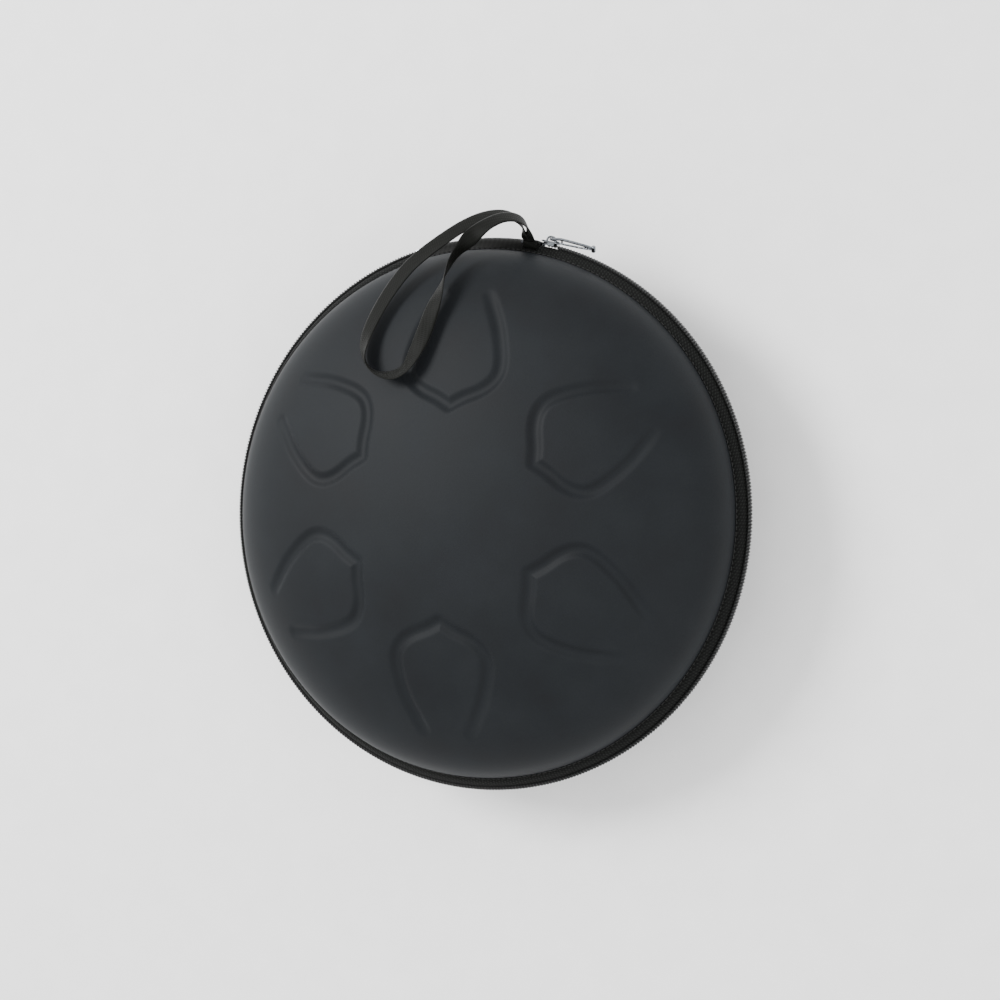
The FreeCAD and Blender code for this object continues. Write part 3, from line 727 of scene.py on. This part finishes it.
def strap_root():
    """The root of the loop: the ribbon's two ends, one on the other, pressed down on the tape."""
    low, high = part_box("strap_tack")
    middle = (np.array(low) + np.array(high)) / 2 / MM
    angle = math.atan2(middle[1], middle[0])
    hug = bulge(SEAM, TAPE_REACH + 0.05, EDGE_HEIGHT + 0.05, 0.8, EDGE_HEIGHT - 0.2, 9)
    plies = [(0.1, 8.0), (1.05, 8.2), (1.15, 7.4), (1.25, 8.2), (2.0, 8.0), (2.3, 7.0), (2.35, 4.0),
             (2.3, 1.4), (1.9, 0.8)]
    section = np.vstack([hug, [(SEAM + 3.2, 7.2)], [(CHAIN + out, up) for out, up in plies]])
    half = 4.4 / CHAIN
    return swept_ring("ribbon_root", section, angle - half, angle + half, 12, 1)


knit = coated_fabric()
# Woven polyester zip tape: small diagonal bumps, dull black with grey glints
tape_cloth = weave("woven_polyester_zip_tape", "#030303", "#1c1e1c", 1.7, 1.9, 0.35, 0.7, twill=0.5)
# Close-woven satin cloth: fine threads along the hinge, a soft even gleam
satin = weave("close_woven_satin_cloth", "#040403", "#0a0b09", 0.9, 3.0, 0.08, 0.5)
# Woven polyester ribbon: a fine twill with an olive-black gloss
ribbon_cloth = weave("woven_polyester_twill_ribbon", "#040503", "#10110e", 1.2, 1.2, 0.14, 0.5, twill=1.0)
coil_nylon = nylon("heat_set_nylon_line", "#0a0b0b", "#242626", 0.28)
thread_nylon = nylon("bonded_nylon_thread", "#020202", "#060606", 0.75)
tack_thread = nylon("bonded_nylon_tack_thread", "#24262b", "#3a3d45", 0.45)
plate = nickel()
lining_cloth = brushed_knit()
binding_cloth = woven_solid("woven_binding_tape", "#0b0c0c", "#151616", 0.8)

finish_piece(shell("front_shell", FRONT_HEIGHT, 1, 34, 720, True, False), knit, ["lid"], "shell_skin",
             "front_skin", "front_foam")
finish_piece(shell("rear_shell", REAR_HEIGHT, -1, 54, 360, False, True), knit, ["base"], "shell_skin",
             "rear_skin", "rear_foam")
for node in ("front_end_stop", "rear_end_stop", "rear_top_stop"):
    frame["nodes"][node].data.materials.clear()
    frame["nodes"][node].data.materials.append(plate)

# Each half's name, body, side, dome height and seam, then where its coil and filler end and its loops' phase
halves = [("front", "lid", 1, FRONT_HEIGHT, SEAM, -SLIDER_HALF - 1.4, -SLIDER_HALF - 1.6, 0.0),
          ("rear", "base", -1, REAR_HEIGHT, REAR_SEAM, SLIDER_HALF - 0.4, -SLIDER_HALF - 0.6, 0.5)]
coil_start = HINGE_END + 2.6 / CHAIN
for half, body, side, height, seam, coil_end, filler_end, phase in halves:
    lining = shell(half + "_lining_cloth", height, side, 34, 240, False, side < 0,
                   FOAM_INSIDE, WALL, LINING_SLACK)
    finish_piece(lining, lining_cloth, [body], "lining", half + "_lining")
    band = binding(half + "_binding_band", height, seam, side)
    finish_piece(band, binding_cloth, [body], "binding", half + "_binding")
    tape = zip_tape(half + "_zip_tape", seam, side)
    finish_piece(tape, tape_cloth, [body], "zip_tape", half + "_tape")
    loops = coil(half + "_coil_loops", side, coil_start, past_slider(coil_end), phase)
    finish_piece(loops, coil_nylon, [body], "zip_coil", half + "_coil")
    cord = filler(half + "_coil_filler", side, coil_start, past_slider(filler_end))
    finish_piece(cord, thread_nylon, [body], "thread")
    seam_row = stitches(half + "_seam_stitches", seam + 0.5, EDGE_HEIGHT + 0.35, side)
    finish_piece(seam_row, thread_nylon, [body], "thread", half + "_seam_thread")

hinge_radius = SEAM * MM
span = [(0, hinge_radius, (MID_HEIGHT - 6) * MM), (0, hinge_radius, (MID_HEIGHT + 6) * MM)]
cloth = hinge_band("hinge_cloth", HINGE_SLACK, EDGE_HEIGHT, TAPE_THICKNESS, HINGE_START, HINGE_END, 0.05)
finish_piece(cloth, satin, ["base", "lid"], "hinge_fabric", "hinge_strip", span=span)
inset = TAPE_THICKNESS + 0.05
facing = hinge_band("hinge_inner_cloth", HINGE_SLACK - inset, EDGE_HEIGHT - inset, 0.65,
                    HINGE_START, HINGE_END, 0.0)
finish_piece(facing, binding_cloth, ["base", "lid"], "binding", "hinge_facing", span=span)
tack_inset = 1.1 / SHELL_RADIUS
for end, place in (("right", HINGE_START + tack_inset), ("left", HINGE_END - tack_inset)):
    finish_piece(bar_tack("bar_tack_" + end, place), tack_thread, ["base", "lid"], "thread",
                 "strip_tack_" + end, span=span)

finish_piece(slider(), plate, ["slider"], "slider_metal", "slider_body")
finish_piece(bail(), plate, ["slider"], "slider_metal", "slider_bail")
finish_piece(pull(), plate, ["pull"], "slider_metal", "pull_tab")
finish_piece(strap_root(), ribbon_cloth, ["lid"], "ribbon", "strap_tack")
loop, loop_path, loop_length = ribbon_loop()
finish_piece(loop, ribbon_cloth, ["lid"], "ribbon", "strap_loop")


def studio():
    """A pale floor, a large key light at the upper left, a weak fill, and the camera."""
    material, tree = new_material("matte_painted_board")
    place = add(tree, "TexCoord").outputs["Object"]
    speck = add(tree, "TexNoise", {"Vector": place, "Scale": 40.0})
    stops = [(0.3, "#fbfbfb"), (0.7, "#ffffff")]
    colour = add(tree, "ValToRGB", {"Fac": speck.outputs[0]}, stops).outputs[0]
    rough = add(tree, "MapRange", {"Value": speck.outputs[0], "To Min": 0.85, "To Max": 0.95}).outputs[0]
    close(tree, colour, rough, speck.outputs[0], 0.05)
    mesh = bpy.data.meshes.new("studio_floor")
    size = 6.0
    corners = [(-size, -size, 0), (size, -size, 0), (size, size, 0), (-size, size, 0)]
    mesh.from_pydata(corners, [], [(0, 1, 2, 3)])
    floor = bpy.data.objects.new("studio_floor", mesh)
    bpy.context.scene.collection.objects.link(floor)
    mesh.materials.append(material)
    world = bpy.data.worlds.new("studio_air")
    bpy.context.scene.world = world
    world.use_nodes = True
    background = world.node_tree.nodes["Background"]
    background.inputs["Color"].default_value = linear("#ffffff")
    background.inputs["Strength"].default_value = 1.45
    for name, place, size, power in (("key_light", (-1.3, 0.9, 2.0), 1.1, 75.0),
                                     ("fill_light", (1.2, -0.6, 1.4), 1.2, 8.0)):
        light = bpy.data.lights.new(name, "AREA")
        light.shape, light.size, light.energy = "DISK", size, power
        lamp = bpy.data.objects.new(name, light)
        bpy.context.scene.collection.objects.link(lamp)
        lamp.location = place
        lamp.rotation_euler = (Vector((0, 0, 0.06)) - Vector(place)).to_track_quat("-Z", "Y").to_euler()
    camera_data = bpy.data.cameras.new("camera")
    camera_data.lens, camera_data.sensor_width = 64.8, 36.0
    camera = bpy.data.objects.new("camera", camera_data)
    bpy.context.scene.collection.objects.link(camera)
    back = Vector((0.37152, -0.01583, 0.92829))
    right = Vector((0.9278, -0.03019, -0.37184))
    rise = Vector((0.03391, 0.99942, 0.00347))
    turned = Matrix((right, rise, back)).transposed().to_4x4()
    camera.matrix_world = Matrix.Translation((0.42579, -0.00968, 1.09682)) @ turned
    bpy.context.scene.camera = camera


studio()
